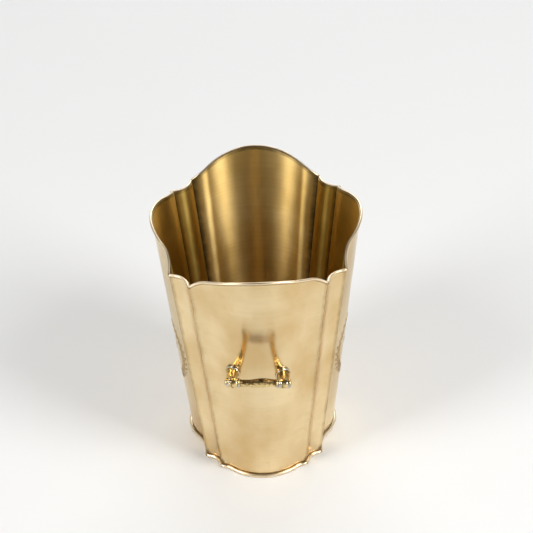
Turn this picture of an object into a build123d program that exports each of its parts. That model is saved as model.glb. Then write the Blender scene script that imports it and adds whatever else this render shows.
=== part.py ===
from build123d import *
import math
import os
from collections import namedtuple

os.makedirs("parts", exist_ok=True)

# Brass planter pot. Four serpentine panels and four concave corner flutes stand on a wire
# moulding and are finished by a wire rim that rises in a crest over every panel. Each end
# has a small cast handle, brazed on by the flanges of its two posts.
# Millimetres, +Z up. The origin is at the centre of the base, the handles are on +Y and -Y.

# ---- driving dimensions ------------------------------------------------------------------
# The wall's outer face in plan: where the side and end planes lie, the radius of the corner
# scoop between them, and how far each panel bulges beyond its own corners.
Outline = namedtuple("Outline", "side_x end_y scoop end_bulge side_bulge")
FOOT = Outline(side_x=67.1, end_y=81.2, scoop=18.2, end_bulge=18.3, side_bulge=18.0)
RIM = Outline(side_x=95.0, end_y=99.2, scoop=21.45, end_bulge=27.1, side_bulge=17.5)

RIM_Z = 282.8              # rim level over the corner flutes
END_CREST = 25.0           # rise of the rim at the middle of an end panel
SIDE_CREST = 22.3          # rise of the rim at the middle of a side panel
SHEET = 1.2                # wall thickness
WALL_FOOT_Z = 0.6          # the wall's lower edge, clear of the ground

END_HOLLOW = 0.42          # end panel: radius of the hollow beside a crease, over half width
SIDE_HOLLOW = 0.58         # side panel: the same
SIDE_DIP = 0.85            # side panel: where its hollow is deepest, over half width

RIM_WIRE_R = 1.6
RIM_WIRE_OUT = 0.8         # rim wire's centre, outside the wall's outer face
BASE_WIRE_R = 2.4
BASE_WIRE_OUT = 1.0        # base wire's centre, outside the wall's outer face
BASE_WIRE_Z = 2.2          # a little under the radius, which leaves a flat to stand on
MITRE_RUN = 6.0            # how far a wire runs past its crease before the mitre is cut

BOTTOM_Z = 4.0             # underside of the bottom plate
BOTTOM_SHEET = 1.5

POST_X = 27.0              # post centres, from the middle of the handle
FLANGE_Z = 170.0
FLANGE_R = 8.7
FLANGE_EDGE = 1.6          # thickness of the flange at its rim
FLANGE_SINK = 3.0          # how far the flange's blank starts inside the wall
BAR_Y = 150.1
BAR_Z = 189.6
BAR_R = 4.5
BAR_HALF_LENGTH = 36.5
BAR_SWELL = 0.7            # how much thicker the bar is at a swelling
KNUCKLE_R = 5.8
KNUCKLE_HALF_WIDTH = 5.4
HANDLE_FIT = {              # how far a handle sits to the right, and how far askew
    "back": (0.0, 0.0),
    "front": (-3.5, math.radians(3.6)),
}
POST_LEAVES = (0.15, 1.0, -0.1)            # how a right-hand post sets out from its flange
POST_RADII = (6.8, 5.6, 4.9, 4.7, 4.9)     # from the flange to the knuckle

TOP_Z = RIM_Z + END_CREST + 4.0    # the walls are lofted past the crests, then trimmed
PAST = 60.0                        # how far trimming solids run past the work

# Where copies of a piece stand, and the planes that each copy is mirrored about.
ENDS = {"back": (), "front": (Plane.XZ,)}
SIDES = {"right": (), "left": (Plane.YZ,)}
CORNERS = {
    "back_right": (),
    "back_left": (Plane.YZ,),
    "front_right": (Plane.XZ,),
    "front_left": (Plane.XZ, Plane.YZ),
}
# Three kinds of wall run round the pot: name, the way its outer face looks, and its places.
WALLS = {
    "end": ("end_panel", (0, 1), ENDS),
    "side": ("side_panel", (1, 0), SIDES),
    "corner": ("corner_flute", (1, 1), CORNERS),
}


# ---- plan outline ------------------------------------------------------------------------
def outline_at(z):
    """The wall's outline at height z: every measure grows evenly from foot to rim."""
    share = z / RIM_Z
    return Outline(*(low + (high - low) * share for low, high in zip(FOOT, RIM)))


def on_circle(centre, radius, angle):
    return (centre[0] + radius * math.cos(angle), centre[1] + radius * math.sin(angle))


def arc_about(centre, start, end):
    """The short arc about a centre from one point to another."""
    first = math.atan2(start[1] - centre[1], start[0] - centre[0])
    turn = math.atan2(end[1] - centre[1], end[0] - centre[0]) - first
    turn = (turn + math.pi) % (2 * math.pi) - math.pi
    middle = on_circle(centre, math.dist(centre, start), first + turn / 2)
    return ThreePointArc(start, middle, end)


def crossing(centre_a, radius_a, centre_b, radius_b, near):
    """Of the two points where circles a and b cross, the one nearer to a given point."""
    gap = math.dist(centre_a, centre_b)
    along = (radius_a**2 - radius_b**2 + gap**2) / (2 * gap)
    aside = math.sqrt(radius_a**2 - along**2)
    ux = (centre_b[0] - centre_a[0]) / gap
    uy = (centre_b[1] - centre_a[1]) / gap
    foot_x = centre_a[0] + along * ux
    foot_y = centre_a[1] + along * uy
    one = (foot_x - aside * uy, foot_y + aside * ux)
    other = (foot_x + aside * uy, foot_y - aside * ux)
    return min(one, other, key=lambda point: math.dist(point, near))


def turned(point, is_side):
    """From (across, out) of a panel to (x, y): a side panel faces +X, an end panel +Y."""
    return (point[1], point[0]) if is_side else point


def flipped(point):
    return (-point[0], point[1])


class Serpentine:
    """A panel's outer face in plan: a round bulge between two hollows, all tangent.

    Points are (across, out): across the panel from its middle, and out from the pot's centre.
    """

    def __init__(self, size, is_side):
        self.is_side = is_side
        if is_side:
            half, base, rise = size.end_y - size.scoop, size.side_x, size.side_bulge
            hollow, dip = SIDE_HOLLOW * half, SIDE_DIP * half
        else:
            half, base, rise = size.side_x - size.scoop, size.end_y, size.end_bulge
            hollow, dip = END_HOLLOW * half, half
        drop = hollow - math.sqrt(hollow**2 - (half - dip) ** 2)
        lift = hollow - drop - rise
        self.hollow_r = hollow
        self.bulge_r = (dip**2 + lift**2 - hollow**2) / (2 * (rise + drop))
        self.hollow_centre = (dip, base + hollow - drop)
        self.bulge_centre = (0.0, base + rise - self.bulge_r)
        self.corner = (half, base)
        self.scoop_r = size.scoop
        self.scoop_centre = turned((size.side_x, size.end_y), is_side)

    def blend(self, inset):
        """Where bulge meets hollow on the curve that lies inset behind the outer face."""
        out = self.hollow_centre[1] - self.bulge_centre[1]
        angle = math.atan2(out, self.hollow_centre[0])
        return on_circle(self.bulge_centre, self.bulge_r - inset, angle)

    def crease(self, inset):
        """Where the same curve meets the corner flute's."""
        hollow_r, scoop_r = self.hollow_r + inset, self.scoop_r + inset
        return crossing(self.hollow_centre, hollow_r, self.scoop_centre, scoop_r, self.corner)

    def draw(self, inset):
        """Draw the curve's three arcs, from the -across crease to the +across crease."""
        blend, crease = self.blend(inset), self.crease(inset)
        stretches = (
            (flipped(self.hollow_centre), flipped(crease), flipped(blend)),
            (self.bulge_centre, flipped(blend), blend),
            (self.hollow_centre, blend, crease),
        )
        return [arc_about(*(turned(p, self.is_side) for p in stretch)) for stretch in stretches]


def end_crease(size, inset):
    return Serpentine(size, False).crease(inset)


def side_crease(size, inset):
    return turned(Serpentine(size, True).crease(inset), True)


def draw_scoop(size, inset):
    """Draw the corner flute's arc, from the end panel's crease to the side panel's."""
    centre = (size.side_x, size.end_y)
    return arc_about(centre, end_crease(size, inset), side_crease(size, inset))


def close_strip(outer, inner):
    Line(outer[0] @ 0, inner[0] @ 0)
    Line(outer[-1] @ 1, inner[-1] @ 1)


def wall_section(z, kind, outset):
    """The closed section of one wall at height z, mitred at both creases."""
    size = outline_at(z)
    with BuildSketch(Plane.XY.offset(z)) as section:
        with BuildLine():
            if kind == "corner":
                close_strip([draw_scoop(size, -outset)], [draw_scoop(size, SHEET)])
            else:
                curve = Serpentine(size, kind == "side")
                close_strip(curve.draw(-outset), curve.draw(SHEET))
        make_face()
    return section.sketch


def pot_section(z, inset):
    """Everything inside the curve that lies inset behind the wall's outer face."""
    size = outline_at(z)
    with BuildSketch(Plane.XY.offset(z)) as section:
        with BuildLine():
            end = Serpentine(size, False).draw(inset)
            side = Serpentine(size, True).draw(inset)
            scoop = draw_scoop(size, inset)
            mirror(end, about=Plane.XZ)
            mirror(side, about=Plane.YZ)
            across = mirror(scoop, about=Plane.YZ)
            mirror([scoop, across], about=Plane.XZ)
        make_face()
    return section.sketch


def crest_profile(is_side):
    """Everything below the arc that a panel's rim follows, seen square on."""
    half_width = Serpentine(RIM, is_side).crease(0)[0]
    rise, plane = (SIDE_CREST, Plane.YZ) if is_side else (END_CREST, Plane.XZ)
    with BuildSketch(plane) as profile:
        with BuildLine():
            ThreePointArc((-half_width, RIM_Z), (0, RIM_Z + rise), (half_width, RIM_Z))
            Polyline(
                (half_width, RIM_Z),
                (half_width + PAST, RIM_Z),
                (half_width + PAST, -PAST),
                (-half_width - PAST, -PAST),
                (-half_width - PAST, RIM_Z),
                (-half_width, RIM_Z),
            )
        make_face()
    return profile.sketch


def write(piece, name):
    piece.label = name
    export_step(piece, f"parts/{name}.step")


def mirrored_copy(master, planes):
    with BuildPart() as copy:
        add(master)
        for plane in planes:
            mirror(about=plane, mode=Mode.REPLACE)
    return copy.part


def write_copies(master, name, places):
    """Write a master piece once for each place, mirrored about that place's planes."""
    for place, planes in places.items():
        write(mirrored_copy(master, planes), f"{name}_{place}")


# ---- walls -------------------------------------------------------------------------------
def wall(kind, outset=0):
    """One wall up to its rim. An outset moves its outer face outwards."""
    top_z = RIM_Z if kind == "corner" else TOP_Z
    with BuildPart() as strip:
        loft([wall_section(z, kind, outset) for z in (WALL_FOOT_Z, top_z)], ruled=True)
        if kind != "corner":
            profile = crest_profile(kind == "side")
            extrude(profile, amount=3 * PAST, both=True, mode=Mode.INTERSECT)
    return strip.part


for kind, (name, outward, places) in WALLS.items():
    write_copies(wall(kind), name, places)

with BuildPart() as bottom_plate:
    loft([pot_section(z, SHEET) for z in (BOTTOM_Z, BOTTOM_Z + BOTTOM_SHEET)], ruled=True)
write(bottom_plate.part, "bottom_plate")

with BuildPart() as pot_block:
    loft([pot_section(z, 0) for z in (-PAST / 10, TOP_Z)], ruled=True)


# ---- wires -------------------------------------------------------------------------------
def lengthened(edges):
    """A wire's path, run on in a straight line past both ends so that it can be mitred."""
    path = Wire(edges)
    start = Line(path @ 0 - (path % 0) * MITRE_RUN, path @ 0)
    end = Line(path @ 1, path @ 1 + (path % 1) * MITRE_RUN)
    return Wire([start, *path.edges(), end])


def mitre(outer, inner, keep_towards):
    """The upright plane through a crease's outer and inner corner, facing the kept side."""
    origin = Vector(*outer, 0)
    normal = (Vector(*inner, 0) - origin).cross(Vector(0, 0, 1))
    if (Vector(*keep_towards, 0) - origin).dot(normal) < 0:
        normal = -normal
    return Plane(origin=origin, z_dir=normal)


def mitres(size, kind):
    """The two mitre planes of a wire on an end panel, a side panel or a corner flute."""
    at_end = (end_crease(size, 0), end_crease(size, SHEET))
    at_side = (side_crease(size, 0), side_crease(size, SHEET))
    far_end = [(-x, y) for x, y in at_end]
    far_side = [(x, -y) for x, y in at_side]
    creases, middle = {
        "end": ((at_end, far_end), (0, size.end_y)),
        "side": ((at_side, far_side), (size.side_x, 0)),
        "corner": ((at_end, at_side), (size.side_x, size.end_y)),
    }[kind]
    return [mitre(outer, inner, middle) for outer, inner in creases]


def rim_path(kind, outward):
    """The top edges of the wall's outer faces, moved out to where the rim wire's centre is."""
    faces = wall(kind, RIM_WIRE_OUT).faces()
    outer = [face for face in faces if face.normal_at().dot(Vector(*outward, 0)) > 0.5]
    return [face.edges().sort_by(Axis.Z)[-1] for face in outer]


def base_path(kind):
    size = outline_at(BASE_WIRE_Z)
    with BuildLine(Plane.XY.offset(BASE_WIRE_Z)) as path:
        if kind == "corner":
            draw_scoop(size, -BASE_WIRE_OUT)
        else:
            Serpentine(size, kind == "side").draw(-BASE_WIRE_OUT)
    return path.edges()


def wire_along(edges, radius, size, kind):
    """Round wire along a path, cut at its creases' mitres. Adds to the open part."""
    path = lengthened(edges)
    with BuildSketch(Plane(origin=path @ 0, z_dir=path % 0)) as section:
        Circle(radius)
    sweep(section.sketch, path=path)
    for plane in mitres(size, kind):
        split(bisect_by=plane, keep=Keep.TOP)


for kind, (name, outward, places) in WALLS.items():
    with BuildPart() as rim_wire:
        wire_along(rim_path(kind, outward), RIM_WIRE_R, RIM, kind)
        add(wall(kind), mode=Mode.SUBTRACT)
        if kind == "corner":       # its two ends would graze the panels
            add([wall("end"), wall("side")], mode=Mode.SUBTRACT)
    write_copies(rim_wire.part, f"rim_wire_{kind}", places)

    with BuildPart() as base_wire:
        wire_along(base_path(kind), BASE_WIRE_R, outline_at(BASE_WIRE_Z), kind)
        split(bisect_by=Plane.XY, keep=Keep.TOP)
        add(pot_block.part, mode=Mode.SUBTRACT)
    write_copies(base_wire.part, f"base_wire_{kind}", places)


# ---- handles -----------------------------------------------------------------------------
# Both handles are made at the back end. The front one is fitted by hand, a little to the
# left and a little askew, and is then mirrored to the front.
def along_bar(distance, shift, askew):
    """A point on the bar's axis, at a distance from its middle."""
    x = shift + distance * math.cos(askew)
    return Vector(x, BAR_Y, BAR_Z - distance * math.sin(askew))


def bar_profile():
    """Half of the bar's outline: a knob past each knuckle, two swellings between them."""
    inner_run = POST_X - KNUCKLE_HALF_WIDTH
    outer_run = POST_X + KNUCKLE_HALF_WIDTH
    Spline(
        (-inner_run, BAR_R),
        (-inner_run / 2, BAR_R + BAR_SWELL),
        (0, BAR_R),
        (inner_run / 2, BAR_R + BAR_SWELL),
        (inner_run, BAR_R),
        tangents=[(1, 0), (1, 0)],
    )
    for hand in (-1, 1):
        knob = (hand * (outer_run + BAR_HALF_LENGTH) / 2, BAR_R + BAR_SWELL)
        tip = (hand * BAR_HALF_LENGTH, BAR_R / 2)
        Line((hand * inner_run, BAR_R), (hand * outer_run, BAR_R))
        ThreePointArc((hand * outer_run, BAR_R), knob, tip)
        Line(tip, (hand * BAR_HALF_LENGTH, 0))
    Line((-BAR_HALF_LENGTH, 0), (BAR_HALF_LENGTH, 0))


def post_rings(seat, knuckle_centre, hand):
    """Round sections of a post, along the arc that it follows from its seat to the bar."""
    sideways, out, up = POST_LEAVES
    with BuildLine() as post_line:
        TangentArc(seat, knuckle_centre, tangent=(hand * sideways, out, up))
    rings = []
    for step, radius in enumerate(POST_RADII):
        with BuildSketch(Plane(post_line.line ^ (step / (len(POST_RADII) - 1)))) as ring:
            Circle(radius)
        rings.append(ring.sketch)
    return rings


for end, planes in ENDS.items():
    shift, askew = HANDLE_FIT[end]
    bar_centre = along_bar(0, shift, askew)
    bar_way = (along_bar(1, shift, askew) - bar_centre).normalized()

    with BuildPart() as handle_bar:
        with BuildSketch(Plane(origin=bar_centre, x_dir=bar_way, z_dir=(0, -1, 0))):
            with BuildLine():
                bar_profile()
            make_face()
        revolve(axis=Axis(bar_centre, bar_way))
    write(mirrored_copy(handle_bar.part, planes), f"handle_bar_{end}")

    for hand, name in ((1, "right"), (-1, "left")):
        knuckle_centre = along_bar(hand * POST_X, shift, askew)
        drop = bar_centre.Z - knuckle_centre.Z
        sight = Axis((knuckle_centre.X, 0, FLANGE_Z - drop), (0, 1, 0))
        hits = pot_block.part.find_intersection_points(sight)
        seat, outward = max(hits, key=lambda hit: hit[0].Y)
        seat_plane = Plane(origin=seat, z_dir=outward)
        knuckle_plane = Plane(origin=knuckle_centre, z_dir=bar_way)

        with BuildPart() as handle_post:
            loft(post_rings(seat, knuckle_centre, hand))
            with BuildSketch(seat_plane.offset(-FLANGE_SINK)):
                Circle(FLANGE_R)
            extrude(amount=FLANGE_SINK + FLANGE_EDGE)
            with BuildSketch(knuckle_plane):
                Circle(KNUCKLE_R)
            extrude(amount=KNUCKLE_HALF_WIDTH, both=True)
            add(handle_bar.part, mode=Mode.SUBTRACT)
            add(pot_block.part, mode=Mode.SUBTRACT)
        write(mirrored_copy(handle_post.part, planes), f"handle_post_{end}_{name}")
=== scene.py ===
"""Looks of the brass planter pot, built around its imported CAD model.

The walls, wires, bottom and handles are rebuilt as dense meshes from the same driving
dimensions as the CAD. Lengths below are in millimetres until a mesh is written.
"""
import math
from collections import namedtuple

import bmesh
import bpy
from mathutils import Matrix, Vector, noise


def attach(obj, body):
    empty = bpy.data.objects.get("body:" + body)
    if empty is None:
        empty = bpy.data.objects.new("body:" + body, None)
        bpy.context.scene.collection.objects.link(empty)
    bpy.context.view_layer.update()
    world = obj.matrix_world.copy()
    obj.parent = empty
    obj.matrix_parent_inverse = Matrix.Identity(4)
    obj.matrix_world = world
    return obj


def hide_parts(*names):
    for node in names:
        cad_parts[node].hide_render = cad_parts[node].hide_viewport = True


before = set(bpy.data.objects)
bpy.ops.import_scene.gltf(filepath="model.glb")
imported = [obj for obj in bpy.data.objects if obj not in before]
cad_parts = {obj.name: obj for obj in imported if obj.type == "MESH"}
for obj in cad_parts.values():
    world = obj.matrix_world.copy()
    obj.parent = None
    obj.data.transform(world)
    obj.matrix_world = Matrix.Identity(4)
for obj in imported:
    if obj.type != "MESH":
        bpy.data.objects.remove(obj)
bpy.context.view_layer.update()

MM = 0.001

# ---- driving dimensions, as in the CAD -----------------------------------------------------
Outline = namedtuple("Outline", "side_x end_y scoop end_bulge side_bulge")
FOOT = Outline(side_x=67.1, end_y=81.2, scoop=18.2, end_bulge=18.3, side_bulge=18.0)
RIM = Outline(side_x=95.0, end_y=99.2, scoop=21.45, end_bulge=27.1, side_bulge=17.5)
RIM_Z = 282.8
END_CREST = 25.0
SIDE_CREST = 22.3
SHEET = 1.2
WALL_FOOT_Z = 0.6
TOP_Z = RIM_Z + END_CREST + 4.0
END_HOLLOW = 0.42
SIDE_HOLLOW = 0.58
SIDE_DIP = 0.85
RIM_WIRE_R = 1.6
RIM_WIRE_OUT = 0.8
BASE_WIRE_R = 2.4
BASE_WIRE_OUT = 1.0
BASE_WIRE_Z = 2.2
BOTTOM_Z = 4.0
BOTTOM_SHEET = 1.5
POST_X = 27.0
FLANGE_Z = 170.0
FLANGE_R = 8.7
BAR_Y = 150.1
BAR_Z = 189.6
BAR_R = 4.5
BAR_HALF_LENGTH = 36.5
HANDLE_FIT = {"back": (0.0, 0.0), "front": (-3.5, math.radians(3.6))}

# Every piece is made at the +X, +Y place, and mirrored in X or Y where its hand is -1.
ENDS = {"back": (1, 1), "front": (1, -1)}
SIDES = {"right": (1, 1), "left": (-1, 1)}
CORNERS = {
    "back_right": (1, 1),
    "back_left": (-1, 1),
    "front_right": (1, -1),
    "front_left": (-1, -1),
}


# ---- plan outline --------------------------------------------------------------------------
def outline_at(z):
    share = z / RIM_Z
    return Outline(*(low + (high - low) * share for low, high in zip(FOOT, RIM)))


def on_circle(centre, radius, angle):
    return Vector((centre[0] + radius * math.cos(angle), centre[1] + radius * math.sin(angle)))


def swept(centre, start, end):
    """An arc as (centre, radius, first angle, turn), the short way round."""
    first = math.atan2(start[1] - centre[1], start[0] - centre[0])
    turn = math.atan2(end[1] - centre[1], end[0] - centre[0]) - first
    turn = (turn + math.pi) % (2 * math.pi) - math.pi
    return centre, math.dist(centre, start), first, turn


def crossing(centre_a, radius_a, centre_b, radius_b, near):
    """Where two circles cross, at whichever of the two points is closer to near."""
    gap = math.dist(centre_a, centre_b)
    along = (radius_a**2 - radius_b**2 + gap**2) / (2 * gap)
    aside = math.sqrt(radius_a**2 - along**2)
    ux, uy = (centre_b[0] - centre_a[0]) / gap, (centre_b[1] - centre_a[1]) / gap
    foot_x, foot_y = centre_a[0] + along * ux, centre_a[1] + along * uy
    one = (foot_x - aside * uy, foot_y + aside * ux)
    other = (foot_x + aside * uy, foot_y - aside * ux)
    return min(one, other, key=lambda point: math.dist(point, near))


def turned(point, is_side):
    return (point[1], point[0]) if is_side else (point[0], point[1])


def flipped(point):
    return (-point[0], point[1])


def serpentine(size, is_side, inset):
    """The three arcs of a panel's curve in (across, out), and the measures of its bulge."""
    if is_side:
        half, base, rise = size.end_y - size.scoop, size.side_x, size.side_bulge
        hollow, dip = SIDE_HOLLOW * half, SIDE_DIP * half
    else:
        half, base, rise = size.side_x - size.scoop, size.end_y, size.end_bulge
        hollow, dip = END_HOLLOW * half, half
    drop = hollow - math.sqrt(hollow**2 - (half - dip) ** 2)
    lift = hollow - drop - rise
    bulge_r = (dip**2 + lift**2 - hollow**2) / (2 * (rise + drop))
    hollow_centre = (dip, base + hollow - drop)
    bulge_centre = (0.0, base + rise - bulge_r)
    scoop_centre = turned((size.side_x, size.end_y), is_side)
    angle = math.atan2(hollow_centre[1] - bulge_centre[1], hollow_centre[0])
    blend = on_circle(bulge_centre, bulge_r - inset, angle)
    crease = crossing(
        hollow_centre, hollow + inset, scoop_centre, size.scoop + inset, (half, base)
    )
    arcs = [
        swept(flipped(hollow_centre), flipped(crease), flipped(blend)),
        swept(bulge_centre, flipped(blend), blend),
        swept(hollow_centre, blend, crease),
    ]
    return arcs, crease, bulge_centre, bulge_r


def end_crease(size, inset):
    return serpentine(size, False, inset)[1]


def side_crease(size, inset):
    return turned(serpentine(size, True, inset)[1], True)


ARC_SHARES = {1: (0.0, 1.0), 3: (0.0, 0.22, 0.78, 1.0)}   # share of a wall's width per arc


def wall_arcs(kind, z, inset):
    """The arcs of a wall's curve at height z, in (across, out) for panels, (x, y) for flutes."""
    size = outline_at(z)
    if kind == "corner":
        centre = (size.side_x, size.end_y)
        return [swept(centre, end_crease(size, inset), side_crease(size, inset))]
    return serpentine(size, kind == "side", inset)[0]


def along_arcs(arcs, share):
    bounds = ARC_SHARES[len(arcs)]
    for arc, low, high in zip(arcs, bounds, bounds[1:]):
        if share <= high + 1e-9:
            centre, radius, first, turn = arc
            return on_circle(centre, radius, first + turn * (share - low) / (high - low))
    return None


def in_plan(kind, point):
    return Vector(turned(point, kind == "side"))


def crest_z(kind, across):
    """Rim height over a point of a panel, seen square on."""
    if kind == "corner":
        return RIM_Z
    half = serpentine(RIM, kind == "side", 0)[1][0]
    rise = SIDE_CREST if kind == "side" else END_CREST
    radius = (half**2 + rise**2) / (2 * rise)
    return RIM_Z + rise - radius + math.sqrt(max(radius**2 - across**2, 0.0))


# Each wall is ruled by straight lines between its curve at the foot and one above the rim.
RULING = {
    (kind, inset, z): wall_arcs(kind, z, inset)
    for kind in ("end", "side", "corner")
    for inset in (0.0, SHEET, -RIM_WIRE_OUT)
    for z in (WALL_FOOT_Z, TOP_Z)
}


def on_ruling(kind, inset, share, z):
    """A wall's point in (across, out) or (x, y) at a share of its width and a height."""
    low = along_arcs(RULING[kind, inset, WALL_FOOT_Z], share)
    high = along_arcs(RULING[kind, inset, TOP_Z], share)
    return low.lerp(high, (z - WALL_FOOT_Z) / (TOP_Z - WALL_FOOT_Z))


def top_of_ruling(kind, inset, share):
    """The height at which a ruling reaches the rim, by repeated substitution."""
    z = RIM_Z
    for _ in range(6):
        z = crest_z(kind, on_ruling(kind, inset, share, z)[0])
    return z


def wall_point(kind, inset, share, z):
    plan = in_plan(kind, on_ruling(kind, inset, share, z))
    return Vector((plan.x, plan.y, z))


# ---- meshes --------------------------------------------------------------------------------
def smooth_step(value):
    value = min(max(value, 0.0), 1.0)
    return value * value * (3 - 2 * value)


def waves(point, size, seed):
    """Smooth noise from -1 to 1 over a length in millimetres."""
    return noise.noise(point / size + Vector((seed, seed * 1.7, seed * 0.3)))


def write_mesh(name, verts, faces, materials, hands, slots=None, marks=None):
    """An object from points in millimetres, mirrored where a hand is -1."""
    flip = hands[0] * hands[1] < 0
    mesh = bpy.data.meshes.new(name)
    placed = [(v[0] * hands[0] * MM, v[1] * hands[1] * MM, v[2] * MM) for v in verts]
    mesh.from_pydata(placed, [], [tuple(reversed(f)) if flip else f for f in faces])
    for material in materials:
        mesh.materials.append(material)
    if slots:
        mesh.polygons.foreach_set("material_index", slots)
    if marks:
        layer = mesh.attributes.new("shade_patina_mark", "FLOAT", "POINT")
        layer.data.foreach_set("value", marks)
    mesh.shade_smooth()
    mesh.update()
    piece = bpy.data.objects.new(name, mesh)
    bpy.context.scene.collection.objects.link(piece)
    return piece


def joined(solids):
    """The points and faces of several meshes as one."""
    verts, faces = [], []
    for more_verts, more_faces in solids:
        start = len(verts)
        verts += more_verts
        faces += [tuple(start + k for k in face) for face in more_faces]
    return verts, faces


def cubic(start, first, second, finish, steps):
    """Points along a cubic curve after its start, from its two control points."""
    points = []
    for i in range(1, steps + 1):
        t = i / steps
        points.append(start * (1 - t) ** 3 + first * (3 * t * (1 - t) ** 2)
                      + second * (3 * t * t * (1 - t)) + finish * t**3)
    return points


def settle(piece, slot, *nodes):
    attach(piece, "root")
    if nodes:
        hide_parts(*nodes)


def sharpen(piece, degrees):
    """Edges sharper than an angle shade as corners."""
    work = bmesh.new()
    work.from_mesh(piece.data)
    for edge in work.edges:
        if len(edge.link_faces) == 2 and edge.calc_face_angle(0.0) > math.radians(degrees):
            edge.smooth = False
    work.to_mesh(piece.data)
    work.free()


RIDGE_R = 0.9              # rounding of the ridge where a panel meets a flute
RIDGE_STEPS = (45.0, 34.0, 23.0, 12.0, 0.0)
WALL_COLUMNS = {"end": 96, "side": 96, "corner": 30}
# Heights of a wall's rows, as shares of its own height, crowded at the foot and the rim.
FOOT_RISES = [0.0, 0.003, 0.006, 0.01, 0.014, 0.018, 0.023, 0.03]
RIM_RISES = [0.975, 0.980, 0.984, 0.987, 0.989, 0.991, 0.993, 0.995, 0.9975, 1.0]
MIDDLE_ROWS = 92
MIDDLE_RUN = 0.945
RISES = FOOT_RISES + [
    FOOT_RISES[-1] + MIDDLE_RUN * i / MIDDLE_ROWS for i in range(1, MIDDLE_ROWS)
] + RIM_RISES

# Sheet stands out or in from its true shape by gentle dents, in broad and in small waves.
DENT_BROAD, DENT_BROAD_SIZE = 0.34, 62.0
DENT_SMALL, DENT_SMALL_SIZE = 0.12, 24.0
DENT_SEEDS = {"end": 3.0, "side": 11.0, "corner": 23.0}

# Where the dark marks lie: a thin patina line along each crease, and painted shade beside the
# creases, under the rim wire, above the base wire and in the pocket at each crease's foot. For
# each, how far it reaches, in millimetres, and how strong it starts.
SEAM_REACH = 1.1
RIM_WIRE_SHADE = 2.6       # how far down a wall its rim wire hides it from above
RIM_LINE, RIM_LINE_REACH = 1.3, 1.6
BASE_LINE, BASE_LINE_REACH = 1.2, 3.0
POCKET, POCKET_WIDE, POCKET_HIGH = 1.6, 9.0, 14.0
OUTER_SHADE = {"end": 0.50, "side": 0.50, "corner": 0.56}
OUTER_SHADE_REACH = 8.5
# Painted shade inside the pot: in and beside the concave creases, and just under the rim.
INNER_CREASE_REACH = 2.4
INNER_SHADE = {"end": (0.76, 15.0), "side": (0.60, 9.0), "corner": (0.60, 9.0)}
INNER_RIM, INNER_RIM_REACH = 0.6, 2.0


def crease_distance(kind, share):
    """Distance from a wall's nearer crease, near its rim."""
    point = on_ruling(kind, 0.0, share, RIM_Z)
    start = on_ruling(kind, 0.0, 0.0, RIM_Z)
    end = on_ruling(kind, 0.0, 1.0, RIM_Z)
    return min((point - start).length, (point - end).length)


def column_shares(kind):
    """Shares of a wall's width, crowded at the rounded ridges, with each one's set-back."""
    columns = WALL_COLUMNS[kind]
    first_step = crease_distance(kind, 0.01) / 0.01
    ridge = []
    for degrees in RIDGE_STEPS:
        angle = math.radians(degrees)
        along = RIDGE_R * (1 - math.sin(angle))
        ridge.append((along / first_step, RIDGE_R * (1 - math.cos(angle))))
    reach = ridge[-1][0]
    middle = [(reach + (1 - 2 * reach) * i / columns, 0.0) for i in range(1, columns)]
    return ridge + middle + [(1 - share, back) for share, back in reversed(ridge)]


def wall_normal(kind, share, z):
    step = 0.002
    a = wall_point(kind, 0.0, max(share - step, 0.0), z)
    b = wall_point(kind, 0.0, min(share + step, 1.0), z)
    up = wall_point(kind, 0.0, share, z + 1) - wall_point(kind, 0.0, share, z)
    normal = (b - a).cross(up).normalized()
    if normal.dot(Vector((a.x, a.y, 0))) < 0:
        normal = -normal
    return normal


def dent_at(kind, hands, point, near, rise):
    """How far a wall's face stands out from its true shape, as hand-worked sheet does."""
    seed = DENT_SEEDS[kind] + hands[0] + 2 * hands[1]
    calm = smooth_step((near - 1.5) / 14.0) * smooth_step(min(rise, 1 - rise) * 9)
    broad = DENT_BROAD * waves(point, DENT_BROAD_SIZE, seed)
    small = DENT_SMALL * waves(point, DENT_SMALL_SIZE, seed + 5)
    return calm * (broad + small - DENT_SMALL)


def fading(distance, reach):
    """One at no distance, nothing past the reach."""
    return 1.0 - smooth_step(distance / reach)


def outer_patina_and_shade(kind, near, below, above):
    """A thin patina line along each crease of a wall's outer face, and painted shade beside its
    creases, under its rim wire, above its base wire and where a crease meets the base wire.
    """
    return max(
        fading(near, SEAM_REACH),
        RIM_LINE * fading(below, RIM_LINE_REACH),
        BASE_LINE * fading(above, BASE_LINE_REACH),
        POCKET * fading(near, POCKET_WIDE) * fading(above, POCKET_HIGH),
        OUTER_SHADE[kind] * fading(near, OUTER_SHADE_REACH),
    )


def inner_painted_shade(kind, near, below):
    """Painted shade on a wall's inner face, in and beside its creases and just under its rim."""
    shade, reach = INNER_SHADE[kind]
    return max(
        fading(near, INNER_CREASE_REACH),
        shade * fading(near, reach),
        INNER_RIM * fading(below, INNER_RIM_REACH),
    )


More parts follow.
